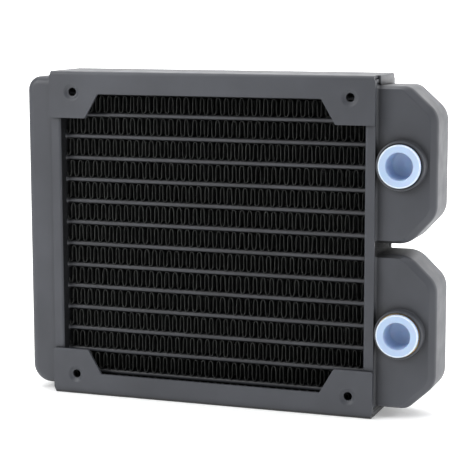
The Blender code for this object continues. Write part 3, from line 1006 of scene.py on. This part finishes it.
def studio(paper):
    """A white sweep behind and under the radiator."""
    bm = bmesh.new()
    left, right, front, back, height, turn = -2.5, 2.5, -2.5, 1.4, 2.2, 0.8
    section = [(front, 0.0)]
    for step in range(13):
        angle = math.pi / 2 * step / 12
        section.append((back - turn + turn * math.sin(angle), turn - turn * math.cos(angle)))
    section.append((back, height))
    rows = [[bm.verts.new((x, y, z)) for y, z in section] for x in (left, right)]
    for i in range(len(section) - 1):
        bm.faces.new((rows[0][i], rows[0][i + 1], rows[1][i + 1], rows[1][i]))
    mesh = bpy.data.meshes.new("paper_sweep")
    bm.to_mesh(mesh)
    bm.free()
    mesh.shade_smooth()
    mesh.materials.append(paper)
    sweep = bpy.data.objects.new("paper_sweep", mesh)
    bpy.context.scene.collection.objects.link(sweep)


def area_light(name, position, target, size, watts):
    data = bpy.data.lights.new(name, "AREA")
    data.shape = "RECTANGLE"
    data.size, data.size_y = size
    data.energy = watts
    light = bpy.data.objects.new(name, data)
    light.location = position
    light.rotation_euler = (Vector(target) - Vector(position)).to_track_quat("-Z", "Y").to_euler()
    bpy.context.scene.collection.objects.link(light)


def lights():
    """A dim room with a bright ceiling, a panel at the right, and a small key light at the front left."""
    world = bpy.data.worlds.new("studio")
    bpy.context.scene.world = world
    world.use_nodes = True
    world.node_tree.nodes["Background"].inputs["Color"].default_value = (0.96, 0.98, 1, 1)
    world.node_tree.nodes["Background"].inputs["Strength"].default_value = 0.26
    middle = tuple(CENTRE)
    area_light("ceiling_box", (0.0, 0.4, 1.6), (0.0, 0.4, 0.0), (2.6, 2.6), 42)
    area_light("right_box", (0.95, 0.0, 0.3), middle, (0.7, 0.9), 5)
    area_light("front_left_box", (-0.32, -0.36, 0.3), middle, (0.25, 0.25), 1.45)


def camera():
    """The view from a little above and to the right, with a long lens."""
    azimuth, elevation, roll = math.radians(19.81), math.radians(8.5), math.radians(-0.1)
    target = CENTRE + Vector((10.08, 3.9 - HALF_DEPTH, 1.68)) * MM
    distance = 577.2 * MM
    back = Vector((
        math.sin(azimuth) * math.cos(elevation),
        -math.cos(azimuth) * math.cos(elevation),
        math.sin(elevation),
    ))
    data = bpy.data.cameras.new("camera")
    data.lens = 122.6
    data.sensor_width = 36
    data.clip_start = 0.01
    data.clip_end = 20
    eye = bpy.data.objects.new("camera", data)
    eye.location = target + back * distance
    eye.rotation_mode = "QUATERNION"
    facing = (-back).to_track_quat("-Z", "Y")
    eye.rotation_quaternion = facing @ Matrix.Rotation(roll, 3, "Z").to_quaternion()
    bpy.context.scene.collection.objects.link(eye)
    bpy.context.scene.camera = eye


# ---------------------------------------------------------------- the radiator


def build_radiator():
    paint = satin_paint()
    brass = turned_brass()
    plastic = plug_plastic()
    bead = bead_plastic()
    on_tubes = tube_paint()
    on_fins = fin_paint()
    painted_shade = shadow_paint()
    painted_gap_shade = gap_shade_paint()

    side_channel("top_channel", "side_channel_top", False, paint, painted_shade)
    side_channel("bottom_channel", "side_channel_bottom", True, paint, painted_shade)
    end_flap("top_channel_flap", paint)
    tube_plate("right_tube_plate", "tube_plate_right", 1, paint, painted_shade)
    tube_plate("left_tube_plate", "tube_plate_left", -1, paint, painted_shade)
    for node in TUBES:
        flat_tube(node, on_tubes)
    for node in FINS:
        fin_strip(node, on_fins)

    plain = Matrix.Identity(4)
    upside_down = Matrix.Scale(-1, 4, (0, 0, 1))
    back_to_front = Matrix.Rotation(math.pi, 4, "Z")
    brim_top = TANK_HIGH.z
    brim_low = TANK_LOW.z
    tank(
        "upper_tank", "inlet_tank", port_tank_corners(TANK_HIGH.x, UPPER_INNER_CHAMFER),
        PORT_TANK_RIM_SHARES, port_tank_profile(), (brim_low, brim_top),
        plain, paint, painted_gap_shade, port_hole(PORT_Z),
    )
    tank(
        "lower_tank", "outlet_tank", port_tank_corners(TANK_HIGH.x + LOWER_TANK_REACH, LOWER_INNER_CHAMFER),
        PORT_TANK_RIM_SHARES, port_tank_profile(), (brim_low, brim_top),
        upside_down, paint, painted_gap_shade, port_hole(-PORT_Z),
    )
    tank(
        "left_tank", "return_tank", return_tank_corners(), (0, 1, 1, 1), return_tank_profile(),
        (-brim_top, brim_top), back_to_front, paint, painted_shade,
    )
    solder_seam("upper_solder_seam", 1, brim_low, brim_top, paint, painted_shade)
    solder_seam("lower_solder_seam", 1, -brim_top, -brim_low, paint, painted_shade)
    solder_seam("left_solder_seam", -1, -brim_top, brim_top, paint, painted_shade)

    port_bushing("upper_port", "inlet_port_bushing", paint, brass, THREAD_MINOR + 0.9)
    port_bushing("lower_port", "outlet_port_bushing", paint, brass, SEAT_RADIUS + 0.05)
    transit_plug("upper_plug", "inlet_transit_plug", "inlet_plug", plastic, bead, 0.0)
    transit_plug("lower_plug", "outlet_transit_plug", "outlet_plug", plastic, bead, 0.4)


bpy.context.scene.view_settings.view_transform = "Standard"
camera()
build_radiator()
studio(floor_paint())
lights()
